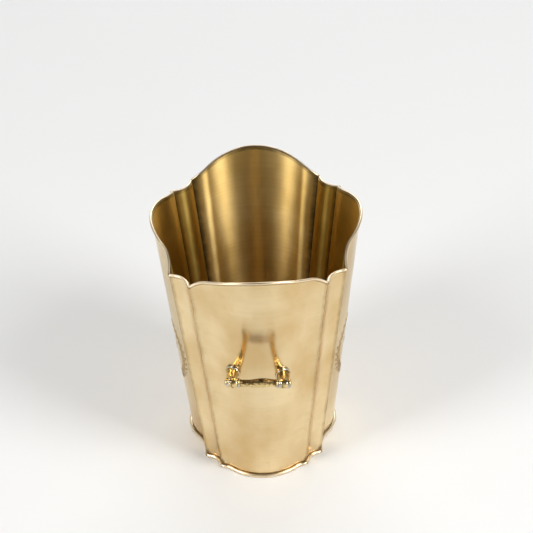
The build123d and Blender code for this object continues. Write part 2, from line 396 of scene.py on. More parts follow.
def wall_piece(kind, place, hands, materials):
    """One wall as a closed sheet with rounded ridges, a little uneven as sheet metal is."""
    shares = column_shares(kind)
    outer, inner, marks_out, marks_in = [], [], [], []
    for share, back in shares:
        top_out = top_of_ruling(kind, 0.0, share)
        top_in = top_of_ruling(kind, SHEET, share)
        near = crease_distance(kind, share)
        for rise in RISES:
            z_out = WALL_FOOT_Z + (top_out - WALL_FOOT_Z) * rise
            z_in = WALL_FOOT_Z + (top_in - WALL_FOOT_Z) * rise
            point = wall_point(kind, 0.0, share, z_out)
            normal = wall_normal(kind, share, z_out)
            dent = dent_at(kind, hands, point, near, rise)
            outer.append(point + normal * (dent - back))
            inner.append(wall_point(kind, SHEET, share, z_in) + normal * dent)
            below = top_out - z_out - RIM_WIRE_SHADE
            above = z_out - 2 * BASE_WIRE_R
            marks_out.append(outer_patina_and_shade(kind, near, below, above))
            marks_in.append(inner_painted_shade(kind, near, below))
    columns, rows = len(shares), len(RISES)
    verts = outer + inner
    shift = columns * rows
    faces, slots = [], []
    right_handed = kind != "end"

    def quad(a, b, c, d, slot):
        faces.append((a, b, c, d) if right_handed else (d, c, b, a))
        slots.append(slot)

    for i in range(columns - 1):
        for j in range(rows - 1):
            a, b = i * rows + j, (i + 1) * rows + j
            quad(a, b, b + 1, a + 1, 0)
            quad(shift + a + 1, shift + b + 1, shift + b, shift + a, 1)
        a, b = i * rows, (i + 1) * rows
        quad(b, a, shift + a, shift + b, 0)
        a, b = a + rows - 1, b + rows - 1
        quad(a, b, shift + b, shift + a, 0)
    for j in range(rows - 1):
        quad(j + 1, j + shift + 1, j + shift, j, 0)
        last = (columns - 1) * rows + j
        quad(last, last + shift, last + shift + 1, last + 1, 0)
    name = f"{'corner_flute' if kind == 'corner' else kind + '_panel'}_{place}"
    piece = write_mesh(
        "sheet_" + name, verts, faces, materials, hands, slots, marks_out + marks_in
    )
    sharpen(piece, 40)
    settle(piece, "sheet_brass", name)


def frames_along(points, up):
    """A tangent, a side and an up direction at each point of a path."""
    result = []
    for i, point in enumerate(points):
        ahead = points[min(i + 1, len(points) - 1)] - points[max(i - 1, 0)]
        tangent = ahead.normalized()
        side = tangent.cross(up).normalized()
        result.append((point, tangent, side, side.cross(tangent).normalized()))
    return result


def ring(point, side, lift, radius, around, wobble=None):
    verts = []
    for k in range(around):
        angle = 2 * math.pi * k / around
        r = radius if wobble is None else radius * wobble(angle)
        verts.append(point + side * (r * math.cos(angle)) + lift * (r * math.sin(angle)))
    return verts


def bridge(rings, around):
    """Quads between successive rings, with both ends closed."""
    faces = []
    for i in range(rings - 1):
        for k in range(around):
            n = (k + 1) % around
            low, high = i * around, (i + 1) * around
            faces.append((low + k, low + n, high + n, high + k))
    faces.append(tuple(reversed(range(around))))
    faces.append(tuple((rings - 1) * around + k for k in range(around)))
    return faces


def mitre_planes(size, kind):
    """For a wire's first and last point: a point and the normal of its mitre plane."""
    end_out, end_in = Vector(end_crease(size, 0.0)), Vector(end_crease(size, SHEET))
    side_out, side_in = Vector(side_crease(size, 0.0)), Vector(side_crease(size, SHEET))
    if kind == "end":
        far = (Vector((-end_out.x, end_out.y)), Vector((-end_in.x, end_in.y)))
        pairs = [far, (end_out, end_in)]
    elif kind == "side":
        far = (Vector((side_out.x, -side_out.y)), Vector((side_in.x, -side_in.y)))
        pairs = [far, (side_out, side_in)]
    else:
        pairs = [(end_out, end_in), (side_out, side_in)]
    planes = []
    for outer, inner in pairs:
        way = (outer - inner).normalized()
        planes.append((Vector((outer.x, outer.y, 0)), Vector((-way.y, way.x, 0))))
    return planes


WIRE_AROUND = 20
BEND = 1.7                 # how sharply a wire turns at a crease, over its own radius
BEND_STEPS = 8
BEND_PULL = 0.36           # how far the bend's control points lie along it
WIRE_STRAY = 0.22          # how far a hand-bent wire strays from its path
WIRE_CALM = 14             # points at each end of a wire over which the straying fades in
WIRE_THINNING = 0.05
# The hollow open end of a rim wire: rings by distance along, share of the radius, and mark; the
# mark paints shade into the hollow.
LIPS = ((0.3, 1.0, 0.5), (0.7, 0.9, 0.5), (0.7, 0.66, 1.0), (-0.4, 0.5, 1.0), (-1.2, 0.35, 1.0))


def rounded_end(path, plane, radius):
    """The path with its last few millimetres bent round to meet a mitre plane squarely."""
    origin, normal = plane
    tangent = (path[-1] - path[-2]).normalized()
    if tangent.dot(normal) < 0:
        normal = -normal
    half_turn = math.acos(min(tangent.dot(normal), 1.0))
    corner = path[-1] + tangent * ((origin - path[-1]).dot(normal) / tangent.dot(normal))
    diagonal = (-tangent + normal * tangent.dot(normal)).normalized()
    reach = radius * math.tan(half_turn)
    kept = [p for p in path if (p - corner).length > reach]
    start = kept[-1]
    way = (kept[-1] - kept[-2]).normalized()
    finish = corner + diagonal * (radius * (1 / math.cos(half_turn) - 1))
    span = (finish - start).length
    first, second = start + way * (span * BEND_PULL), finish - normal * (span * BEND_PULL)
    return kept + cubic(start, first, second, finish, BEND_STEPS)


def wire_piece(name, node, path, radius, planes, hands, seed, open_end):
    """A wire along a path, bent round to meet its neighbours, or left open at its last end."""
    bend = BEND * radius
    path = rounded_end(path[::-1], planes[0], bend)[::-1]
    if not open_end:
        path = rounded_end(path, planes[1], bend)
    frames = frames_along(path, Vector((0, 0, 1)))
    rings, marks = [], []
    total = len(frames) - 1
    for i, (point, _, side, lift) in enumerate(frames):
        near = min(i, total - i) / WIRE_CALM
        uneven = smooth_step(near) * WIRE_STRAY
        centre = point + side * (uneven * waves(point, 14.0, seed))
        centre = centre + lift * (uneven * waves(point, 18.0, seed + 9))
        size = radius * (1 - WIRE_THINNING + WIRE_THINNING * waves(point, 9.0, seed + 4))
        rings.append(ring(centre, side, lift, size, WIRE_AROUND))
        # Marks: patina at the joints, painted shade on the wire's underside and on its side towards
        # the middle of the pot.
        joint = 0.75 * (1.0 - smooth_step(near * 6))
        to_middle = -Vector((point.x, point.y, 0)).normalized()
        for vert in rings[-1]:
            facing = (vert - centre).normalized()
            under = smooth_step((-facing.z - 0.72) / 0.25)
            inward = smooth_step((facing.dot(to_middle) - 0.45) / 0.30)
            marks.append(max(joint, under, inward))
    if open_end:
        point, tangent, side, lift = frames[total]
        for out, share, mark in LIPS:
            rings.append(ring(point + tangent * out, side, lift, radius * share, WIRE_AROUND))
            marks += [mark] * WIRE_AROUND
    verts = [Vector((v.x, v.y, max(v.z, 0.0))) for one in rings for v in one]
    faces = bridge(len(rings), WIRE_AROUND)
    piece = write_mesh(name, verts, faces, [wire_brass], hands, marks=marks)
    sharpen(piece, 50)
    settle(piece, "wire_brass", node)


def rim_path(kind):
    steps = {"end": 120, "side": 120, "corner": 28}[kind]
    path = []
    for i in range(steps + 1):
        share = i / steps
        z = top_of_ruling(kind, -RIM_WIRE_OUT, share)
        path.append(wall_point(kind, -RIM_WIRE_OUT, share, z))
    return path


def base_path(kind):
    steps = {"end": 110, "side": 120, "corner": 26}[kind]
    arcs = wall_arcs(kind, BASE_WIRE_Z, -BASE_WIRE_OUT)
    path = []
    for i in range(steps + 1):
        plan = in_plan(kind, along_arcs(arcs, i / steps))
        path.append(Vector((plan.x, plan.y, BASE_WIRE_Z)))
    return path


# ---- materials -----------------------------------------------------------------------------
def new_material(name):
    material = bpy.data.materials.new(name)
    material.use_nodes = True
    nodes, links = material.node_tree.nodes, material.node_tree.links
    nodes.clear()
    output = nodes.new("ShaderNodeOutputMaterial")
    shader = nodes.new("ShaderNodeBsdfPrincipled")
    links.new(shader.outputs[0], output.inputs[0])
    return material, nodes, links, shader


def noise_node(nodes, links, coords, stretch, scale, detail):
    mapping = nodes.new("ShaderNodeMapping")
    mapping.inputs["Scale"].default_value = stretch
    texture = nodes.new("ShaderNodeTexNoise")
    texture.inputs["Scale"].default_value = scale
    texture.inputs["Detail"].default_value = detail
    links.new(coords, mapping.inputs["Vector"])
    links.new(mapping.outputs[0], texture.inputs["Vector"])
    return texture.outputs["Fac"]


def ramp_node(nodes, links, value, *stops):
    ramp = nodes.new("ShaderNodeValToRGB")
    elements = ramp.color_ramp.elements
    while len(elements) < len(stops):
        elements.new(0.5)
    for element, (position, colour) in zip(elements, stops):
        element.position = position
        element.color = (*colour, 1) if len(colour) == 3 else (colour[0],) * 3 + (1,)
    links.new(value, ramp.inputs["Fac"])
    return ramp.outputs["Color"]


def mix_colour(nodes, links, share, a, b):
    mix = nodes.new("ShaderNodeMix")
    mix.data_type = "RGBA"
    sockets = {s.identifier: s for s in mix.inputs}
    for key, value in (("Factor_Float", share), ("A_Color", a), ("B_Color", b)):
        if hasattr(value, "links"):
            links.new(value, sockets[key])
        else:
            sockets[key].default_value = value if key == "Factor_Float" else (*value, 1)
    return next(s for s in mix.outputs if s.identifier == "Result_Color")


def maths(nodes, links, operation, a, b):
    node = nodes.new("ShaderNodeMath")
    node.operation = operation
    for socket, value in zip(node.inputs, (a, b)):
        if hasattr(value, "links"):
            links.new(value, socket)
        else:
            socket.default_value = value
    return node.outputs[0]


def spread(nodes, links, value, low, high, to_low, to_high):
    node = nodes.new("ShaderNodeMapRange")
    node.clamp = True
    for socket, number in zip(node.inputs[1:5], (low, high, to_low, to_high)):
        socket.default_value = number
    links.new(value, node.inputs[0])
    return node.outputs[0]


def brass(name, pale, deep, shade_and_patina_colour, rough, brush, anisotropic, shade_and_patina_depth, bump):
    """Satin brass: cloudy colour, fine brushing round the pot, and a dark colour laid by each
    point's mark:
    patina on the crease lines and joints, and painted shade in creases, corners and under and
    beside the wires.

    The brush is how dark the brushed lines are, the depth of the marks how thick their dark colour
    lies, and the bump the depth of the brushing in metres. Noise is scaled in waves per metre, so
    the clouds are about 60 mm across, the blotches 11 mm and the brushed lines 1 to 2 mm or finer.
    """
    material, nodes, links, shader = new_material(name)
    coords = nodes.new("ShaderNodeTexCoord").outputs["Object"]
    clouds = noise_node(nodes, links, coords, (1, 1, 0.7), 17.0, 4.0)
    blotches = noise_node(nodes, links, coords, (1, 1, 1), 90.0, 5.0)
    fine = noise_node(nodes, links, coords, (40, 40, 1700), 1.0, 2.0)
    streaks = noise_node(nodes, links, coords, (12, 12, 420), 1.0, 3.0)
    base = ramp_node(nodes, links, clouds, (0.34, deep), (0.64, pale))
    spots = spread(nodes, links, blotches, 0.60, 0.76, 0.0, 0.35)
    base = mix_colour(nodes, links, spots, base, deep)
    lines = spread(nodes, links, streaks, 0.3, 0.7, 0.0, brush)
    base = mix_colour(nodes, links, lines, base, [c * 0.80 for c in deep])
    # Each point's mark lays the dark colour: patina on the crease lines and joints, painted shade
    # in creases and corners and by the wires.
    shade_patina_mark = nodes.new("ShaderNodeAttribute")
    shade_patina_mark.attribute_name = "shade_patina_mark"
    ragged = maths(nodes, links, "MULTIPLY", shade_patina_mark.outputs["Fac"],
                   spread(nodes, links, blotches, 0.3, 0.6, 0.74, 1.0))
    shade_and_patina = spread(nodes, links, ragged, 0.25, 0.85, 0.0, shade_and_patina_depth)
    base = mix_colour(nodes, links, shade_and_patina, base, shade_and_patina_colour)
    links.new(base, shader.inputs["Base Color"])
    shader.inputs["Metallic"].default_value = 1.0
    shader.inputs["Anisotropic"].default_value = anisotropic
    shader.inputs["Anisotropic Rotation"].default_value = 0.25
    if anisotropic:
        level = nodes.new("ShaderNodeVectorMath")
        level.operation = "CROSS_PRODUCT"
        level.inputs[0].default_value = (0, 0, 1)
        links.new(nodes.new("ShaderNodeNewGeometry").outputs["Normal"], level.inputs[1])
        links.new(level.outputs[0], shader.inputs["Tangent"])
    cloudy = spread(nodes, links, clouds, 0.3, 0.7, rough * 0.86, rough * 1.16)
    scuffed = maths(nodes, links, "ADD", cloudy, spread(nodes, links, streaks, 0.4, 0.8, 0.0, 0.07))
    scuffed = maths(nodes, links, "ADD", scuffed, maths(nodes, links, "MULTIPLY", shade_and_patina, 0.25))
    links.new(scuffed, shader.inputs["Roughness"])
    relief = maths(nodes, links, "ADD", fine, maths(nodes, links, "MULTIPLY", streaks, 1.6))
    bumps = nodes.new("ShaderNodeBump")
    bumps.inputs["Strength"].default_value = 1.0
    bumps.inputs["Distance"].default_value = bump
    links.new(relief, bumps.inputs["Height"])
    links.new(bumps.outputs[0], shader.inputs["Normal"])
    return material


def cast_brass(name, gold, dark, reflection_grey, rough, bump):
    """Cast brass with dark patina in its hollows, painted shade on the bar's top, and a grey
    reflection painted on its high spots.
    """
    material, nodes, links, shader = new_material(name)
    coords = nodes.new("ShaderNodeTexCoord").outputs["Object"]
    patches = noise_node(nodes, links, coords, (1, 1, 1), 130.0, 4.0)
    grit = noise_node(nodes, links, coords, (1, 1, 1), 900.0, 3.0)
    shade_patina_mark = nodes.new("ShaderNodeAttribute")
    shade_patina_mark.attribute_name = "shade_patina_mark"
    uneven = spread(nodes, links, patches, 0.35, 0.65, -0.15, 0.15)
    hollow = maths(nodes, links, "ADD", shade_patina_mark.outputs["Fac"], uneven)
    shade_and_patina = spread(nodes, links, hollow, 0.44, 0.84, 0.0, 1.0)
    base = ramp_node(nodes, links, patches, (0.3, [c * 0.8 for c in gold]), (0.7, gold))
    base = mix_colour(nodes, links, shade_and_patina, base, dark)
    # Painted reflection: a grey colour on the high spots.
    painted_edge_reflection = spread(nodes, links, hollow, 0.05, 0.22, 0.85, 0.0)
    base = mix_colour(nodes, links, painted_edge_reflection, base, reflection_grey)
    links.new(base, shader.inputs["Base Color"])
    shader.inputs["Metallic"].default_value = 1.0
    rubbed = spread(nodes, links, patches, 0.3, 0.7, rough * 0.8, rough * 1.3)
    links.new(maths(nodes, links, "ADD", rubbed, maths(nodes, links, "MULTIPLY", shade_and_patina, 0.16)),
              shader.inputs["Roughness"])
    bumps = nodes.new("ShaderNodeBump")
    bumps.inputs["Strength"].default_value = 1.0
    bumps.inputs["Distance"].default_value = bump
    links.new(maths(nodes, links, "ADD", grit, patches), bumps.inputs["Height"])
    links.new(bumps.outputs[0], shader.inputs["Normal"])
    return material


PALE = (0.88, 0.71, 0.43)
DEEP = (0.69, 0.495, 0.24)
# The next colour darkens the outer walls, as patina on the crease lines and painted shade by the
# creases and wires, and the bottom plate towards the walls.
PATINA_AND_SHADE = (0.16, 0.085, 0.025)
# The next colour is painted shade, for the creases inside and just under the rim.
PAINTED_SHADE_INSIDE = (0.035, 0.02, 0.006)
outside = brass("satin_brass_outside", PALE, DEEP, PATINA_AND_SHADE,
                rough=0.20, brush=0.10, anisotropic=0.35, shade_and_patina_depth=0.85, bump=0.000006)
inside = brass("brushed_brass_inside", (0.95, 0.71, 0.31), (0.78, 0.54, 0.18), PAINTED_SHADE_INSIDE,
               rough=0.40, brush=0.24, anisotropic=0.96, shade_and_patina_depth=0.85, bump=0.00001)
# A darker copy of the inner brass, as painted shade on the side and corner walls inside.
inside_painted_shade = brass("painted_shade_brass_inside", (0.61, 0.425, 0.12), (0.47, 0.31, 0.065), PAINTED_SHADE_INSIDE,
                    rough=0.34, brush=0.12, anisotropic=0.90, shade_and_patina_depth=0.9, bump=0.000002)
# The wire's dark colour is patina at its joints and painted shade on its underside and inner side.
wire_brass = brass("wire_brass", (0.90, 0.75, 0.53), (0.80, 0.64, 0.42), (0.10, 0.065, 0.03),
                   rough=0.30, brush=0.0, anisotropic=0.0, shade_and_patina_depth=0.9, bump=0.000008)
plate_brass = brass("plate_brass", (0.70, 0.50, 0.22), (0.56, 0.37, 0.14), PATINA_AND_SHADE,
                    rough=0.34, brush=0.2, anisotropic=0.3, shade_and_patina_depth=0.9, bump=0.00001)
relief_brass = brass("relief_brass", (0.76, 0.57, 0.31), (0.60, 0.41, 0.19), (0.09, 0.045, 0.012),
                     rough=0.28, brush=0.0, anisotropic=0.0, shade_and_patina_depth=0.95, bump=0.00001)
handle_brass = cast_brass("cast_brass", gold=(0.90, 0.67, 0.29), dark=(0.15, 0.092, 0.035),
                          reflection_grey=(0.43, 0.45, 0.47), rough=0.15, bump=0.00005)

# ---- walls and wires -----------------------------------------------------------------------
RUNS = (("end", ENDS), ("side", SIDES), ("corner", CORNERS))
for kind, places in RUNS:
    for place, hands in places.items():
        # End walls take the inner brass; side and corner walls its darker copy, as painted shade.
        wall_piece(kind, place, hands, [outside, inside if kind == "end" else inside_painted_shade])

for kind, places in RUNS:
    for number, (place, hands) in enumerate(places.items()):
        seed = 31.0 + 7 * number + len(kind)
        wire_piece(f"rim_{kind}_{place}", f"rim_wire_{kind}_{place}", rim_path(kind), RIM_WIRE_R,
                   mitre_planes(RIM, kind), hands, seed, kind == "side")
        wire_piece(f"foot_{kind}_{place}", f"base_wire_{kind}_{place}", base_path(kind),
                   BASE_WIRE_R, mitre_planes(outline_at(BASE_WIRE_Z), kind), hands, seed + 50,
                   False)


# ---- side reliefs --------------------------------------------------------------------------
RELIEF_Z = 128.0
RELIEF_HIGH, RELIEF_WIDE = 42.0, 31.0        # half the wreath's height and width
LEAF_LONG, LEAF_WIDE, LEAF_PROUD = 11.0, 4.4, 0.65
LEAF_ROWS = 8
LEAF_SUNK = 0.4
STEM_STEPS = 40
STEM_AROUND = 8
STEM_R, STEM_PROUD = 0.5, 0.05
SPRAY_START, SPRAY_TURN = 4, 158             # degrees from the wreath's foot
LEAF_LEAN = 0.62                             # radians between a leaf and its stem
PETALS = 8
CLEAR_OF_CREASES = 50.0                      # dents aren't calmed so far from a crease


def on_side(across, z, hands):
    """The point of a side panel at a distance from its middle, and its outward normal."""
    low, high = 0.0, 1.0
    for _ in range(20):
        share = (low + high) / 2
        if on_ruling("side", 0.0, share, z)[0] < across:
            low = share
        else:
            high = share
    point = wall_point("side", 0.0, share, z)
    normal = wall_normal("side", share, z)
    rise = (z - WALL_FOOT_Z) / (top_of_ruling("side", 0.0, share) - WALL_FOOT_Z)
    return point + normal * dent_at("side", hands, point, CLEAR_OF_CREASES, rise), normal


def laid_on(across, z, proud, hands):
    point, normal = on_side(across, z, hands)
    return point + normal * proud


def leaf(centre, angle, size, hands):
    """A pointed leaf with a midrib, its back sunk in the sheet."""
    along = (math.cos(angle), math.sin(angle))
    aside = (-along[1], along[0])
    verts, marks, faces = [], [], []
    rows = columns = LEAF_ROWS
    for i in range(rows + 1):
        t = i / rows
        half = 0.5 * LEAF_WIDE * size * math.sin(math.pi * t**0.8) ** 0.9 + 0.02
        for j in range(columns + 1):
            u = 2 * j / columns - 1
            dome = (1 - u * u) * (0.35 + 0.65 * math.sin(math.pi * t))
            rib = 0.35 * math.exp(-((u / 0.16) ** 2))
            proud = LEAF_PROUD * (0.72 * dome + rib * math.sin(math.pi * t)) - 0.04
            a = centre[0] + along[0] * LEAF_LONG * size * t + aside[0] * half * u
            z = centre[1] + along[1] * LEAF_LONG * size * t + aside[1] * half * u
            verts.append(laid_on(a, z, proud, hands))
            groove = math.exp(-(((abs(u) - 0.28) / 0.1) ** 2))
            marks.append(min(1.0, 0.15 + abs(u) ** 3 + 0.6 * groove))
    for i in range(rows):
        for j in range(columns):
            a = i * (columns + 1) + j
            faces.append((a, a + 1, a + columns + 2, a + columns + 1))
    rim = list(range(columns + 1))
    rim += [i * (columns + 1) + columns for i in range(1, rows + 1)]
    rim += [rows * (columns + 1) + j for j in range(columns - 1, -1, -1)]
    rim += [i * (columns + 1) for i in range(rows - 1, 0, -1)]
    start = len(verts)
    for k in rim:
        verts.append(verts[k] - bulge_normal(verts[k]) * LEAF_SUNK)
        marks.append(1.0)
    for k in range(len(rim)):
        n = (k + 1) % len(rim)
        faces.append((rim[n], rim[k], start + k, start + n))
    faces.append(tuple(reversed(range(start, start + len(rim)))))
    return verts, faces, marks


def bulge_normal(point):
    """Roughly outwards on a side panel's bulge."""
    return Vector((1.0, point.y / 110.0, -0.06)).normalized()


def stem_of(points, hands):
    """A thin raised stem laid over a side panel."""
    path = [laid_on(a, z, STEM_PROUD, hands) for a, z in points]
    verts = []
    for point, _, side, lift in frames_along(path, Vector((1, 0, 0))):
        verts += ring(point, side, lift, STEM_R, STEM_AROUND)
    return verts, bridge(len(path), STEM_AROUND), [0.5] * len(verts)


def relief_piece(place, hands):
    """A wreath of two leafy sprays round a small flower, tied at its foot."""
    solids = []
    for hand in (-1, 1):
        stem = []
        for i in range(STEM_STEPS + 1):
            angle = math.radians(-90 + hand * (SPRAY_START + SPRAY_TURN * i / STEM_STEPS))
            stem.append((RELIEF_WIDE * math.cos(angle), RELIEF_Z + RELIEF_HIGH * math.sin(angle)))
        solids.append(stem_of(stem, hands))
        for i in range(2, STEM_STEPS - 2, 3):
            a, z = stem[i]
            ahead_a, ahead_z = stem[i + 1]
            way = math.atan2(ahead_z - z, ahead_a - a)
            size = 1.0 - 0.35 * i / STEM_STEPS
            for lean in (-LEAF_LEAN, LEAF_LEAN):
                solids.append(leaf((a, z), way + lean, size, hands))
    for i in range(PETALS):
        solids.append(leaf((0.0, RELIEF_Z), 2 * math.pi * i / PETALS, 0.85, hands))
    for hand in (-1, 1):
        solids.append(leaf((0.0, RELIEF_Z - RELIEF_HIGH), -math.pi / 2 + hand * 0.7, 1.1, hands))
    verts, faces = joined((solid[0], solid[1]) for solid in solids)
    marks = [mark for solid in solids for mark in solid[2]]
    piece = write_mesh(f"wreath_{place}", verts, faces, [relief_brass], hands, marks=marks)
    sharpen(piece, 60)
    settle(piece, "sheet_brass")


for place, hands in SIDES.items():
    relief_piece(place, hands)


# ---- bottom --------------------------------------------------------------------------------
def bottom_loop(z, inset):
    """The inside of the pot at height z, as one closed loop of points."""
    size = outline_at(z)
    quarter = []
    runs = (("side", 0.5, 1.0, 36), ("corner", 1.0, 0.0, 20), ("end", 1.0, 0.5, 36))
    for kind, first, last, steps in runs:
        arcs = wall_arcs(kind, z, inset)
        for i in range(steps):
            share = first + (last - first) * i / steps
            quarter.append(in_plan(kind, along_arcs(arcs, share)))
    top = in_plan("end", along_arcs(wall_arcs("end", z, inset), 0.5))
    half = quarter + [top] + [Vector((-p.x, p.y)) for p in reversed(quarter[1:])]
    half.append(Vector((-quarter[0].x, quarter[0].y)))
    return half + [Vector((p.x, -p.y)) for p in reversed(half[1:-1])]


BOTTOM_GAP = 0.02          # between the plate's edge and the walls
BOTTOM_RINGS = 26
BOTTOM_SAG = 0.25
FILLET_HIGH = 1.1
FILLET = ((0.35, 0.55, 0.8), (0.9, 0.2, 0.8), (1.8, 0.0, 0.6), (3.2, 0.0, 0.1))   # in, up, mark


def bottom_piece():
    """The bottom plate, a little dished, with the solder's fillet all round it."""
    top_z, low_z = BOTTOM_Z + BOTTOM_SHEET, BOTTOM_Z
    edge = SHEET + BOTTOM_GAP
    fillet_z = top_z + FILLET_HIGH
    loops = [
        [Vector((p.x, p.y, low_z)) for p in bottom_loop(low_z, edge)],
        [Vector((p.x, p.y, fillet_z)) for p in bottom_loop(fillet_z, edge)],
    ]
    count = len(loops[0])
    marks = [0.2, 0.9]
    for inset, rise, mark in FILLET:
        loops.append([Vector((p.x, p.y, top_z + rise)) for p in bottom_loop(top_z, SHEET + inset)])
        marks.append(mark)
    inner = loops[-1]
    for i in range(1, BOTTOM_RINGS):
        share = 1 - i / BOTTOM_RINGS
        dished = []
        for p in inner:
            q = Vector((p.x * share, p.y * share, top_z))
            sag = BOTTOM_SAG * smooth_step(i / 6) * waves(q, 45.0, 77.0)
            dished.append(Vector((q.x, q.y, top_z + sag)))
        loops.append(dished)
        marks.append(0.0)
    verts = [v for loop in loops for v in loop]
    faces = []
    for i in range(len(loops) - 1):
        low, high = i * count, (i + 1) * count
        for k in range(count):
            n = (k + 1) % count
            faces.append((low + k, low + n, high + n, high + k))
    verts.append(Vector((0, 0, top_z)))
    last = (len(loops) - 1) * count
    faces += [(last + k, last + (k + 1) % count, len(verts) - 1) for k in range(count)]
    verts.append(Vector((0, 0, low_z)))
    faces += [((k + 1) % count, k, len(verts) - 1) for k in range(count)]
    marks = [m for m in marks for _ in range(count)] + [0.0, 0.0]
    piece = write_mesh("floor_plate", verts, faces, [plate_brass], (1, 1), marks=marks)
    sharpen(piece, 50)
    settle(piece, "plate_brass", "bottom_plate")


bottom_piece()


# ---- handles -------------------------------------------------------------------------------
# Turned profiles: distance along the axis and radius, both in mm.
FLANGE_PROFILE = (
    (-0.55, FLANGE_R - 0.9), (0.5, FLANGE_R - 0.1), (1.3, FLANGE_R), (2.3, FLANGE_R - 0.25),
    (2.6, FLANGE_R - 1.2), (1.9, FLANGE_R - 2.2), (1.6, FLANGE_R - 3.4),
)
KNOT_PROFILE = (
    (-5.3, 2.8), (-4.9, 4.5), (-3.2, 5.3), (-1.2, 4.9), (0.6, 5.1), (3.0, 5.45), (4.8, 4.7),
    (5.3, 3.0),
)
COLLAR_PROFILE = ((-1.2, 3.2), (-1.0, 4.9), (0, 5.45), (1.0, 4.9), (1.2, 3.2))
COLLAR_X = 20.6            # either side of the bar's middle
KNOB_X, KNOB_RUN = 33.4, 2.2
BAR_STEPS, POST_STEPS = 72, 30
POST_R = 4.7
CAST_VOXEL = 0.42
HOLLOW_ROUNDS = 5
HANDLE_SEED = {"front": 5.0, "back": 9.0}


def seat_of(x, z):
    """Where a post's flange sits on the end panel, and the panel's outward normal there."""
    def surface(px, pz):
        _, _, centre, radius = serpentine(outline_at(pz), False, 0.0)
        return centre[1] + math.sqrt(radius**2 - px**2)
    step = 0.01
    slope_x = (surface(x + step, z) - surface(x - step, z)) / (2 * step)
    slope_z = (surface(x, z + step) - surface(x, z - step)) / (2 * step)
    return Vector((x, surface(x, z), z)), Vector((-slope_x, 1, -slope_z)).normalized()


def lathe(centre, axis, profile, around, wobble, seed):
    """A turned solid: rings of (distance along the axis, radius), its rings a little uneven."""
    side = axis.cross(Vector((0, 0, 1)))
    side = side.normalized() if side.length > 0.1 else Vector((1, 0, 0))
    lift = side.cross(axis).normalized()
    verts = []
    for along, radius in profile:
        verts += ring(centre + axis * along, side, lift, radius, around,
                      lambda angle: 1 + wobble * noise.noise(
                          Vector((2 * math.cos(angle), 2 * math.sin(angle), along / 4 + seed))))
    return verts, bridge(len(profile), around)


def limb(points, radii, around, seed, grooves, twist):
    """A cast branch along a path, with lengthwise grooves that turn slowly round it."""
    frames = frames_along(points, Vector((0, 0, 1)))
    verts = []
    for i, ((point, _, side, lift), radius) in enumerate(zip(frames, radii)):
        verts += ring(point, side, lift, radius, around,
                      lambda angle: 1 + grooves * math.cos(3 * angle + twist * i + seed)
                      + 0.6 * grooves * math.cos(5 * angle - 0.6 * twist * i + 2 * seed))
    return verts, bridge(len(points), around)


def fuse(name, solids, hands, smoothing):
    """Several closed solids as one cast skin."""
    verts, faces = joined(solids)
    piece = write_mesh(name, verts, faces, [handle_brass], hands)
    remesh = piece.modifiers.new("remesh", "REMESH")
    remesh.mode = "VOXEL"
    remesh.voxel_size = CAST_VOXEL * MM
    remesh.use_smooth_shade = True
    soften = piece.modifiers.new("soften", "SMOOTH")
    soften.factor = 0.5
    soften.iterations = smoothing
    graph = bpy.context.evaluated_depsgraph_get()
    final = bpy.data.meshes.new_from_object(piece.evaluated_get(graph))
    piece.modifiers.clear()
    piece.data = final
    final.materials.clear()
    final.materials.append(handle_brass)
    return piece


def weather(piece, amount, seed, top_painted_shade):
    """Small casting lumps, and a mark on each point that says how hollow its surroundings are.

    The last argument adds painted shade to the mark where the skin faces up, so the top comes out
    darker.
    """
    work = bmesh.new()
    work.from_mesh(piece.data)
    work.normal_update()
    for vert in work.verts:
        point = vert.co / MM
        lump = amount * waves(point, 3.4, seed) + 0.5 * amount * waves(point, 1.5, seed + 3)
        vert.co += vert.normal * (lump * MM)
    work.normal_update()
    hollow = {v: 0.0 for v in work.verts}
    for vert in work.verts:
        around = [edge.other_vert(vert) for edge in vert.link_edges]
        middle = sum((v.co for v in around), Vector()) / len(around)
        reach = sum((v.co - vert.co).length for v in around) / len(around)
        hollow[vert] = (middle - vert.co).dot(vert.normal) / reach
    for _ in range(HOLLOW_ROUNDS):
        hollow = {
            v: 0.5 * hollow[v]
            + 0.5 * sum(hollow[e.other_vert(v)] for e in v.link_edges) / len(v.link_edges)
            for v in work.verts
        }
    order = sorted(hollow.values())
    low, high = order[len(order) // 10], order[len(order) * 9 // 10]
    marks = [
        min(max((hollow[v] - low) / (high - low), 0.0), 1.0) * 0.8
        + top_painted_shade * smooth_step((v.normal.z - 0.35) / 0.4)
        for v in work.verts
    ]
    work.to_mesh(piece.data)
    work.free()
    layer = piece.data.attributes.new("shade_patina_mark", "FLOAT", "POINT")
    layer.data.foreach_set("value", marks)
    piece.data.shade_smooth()


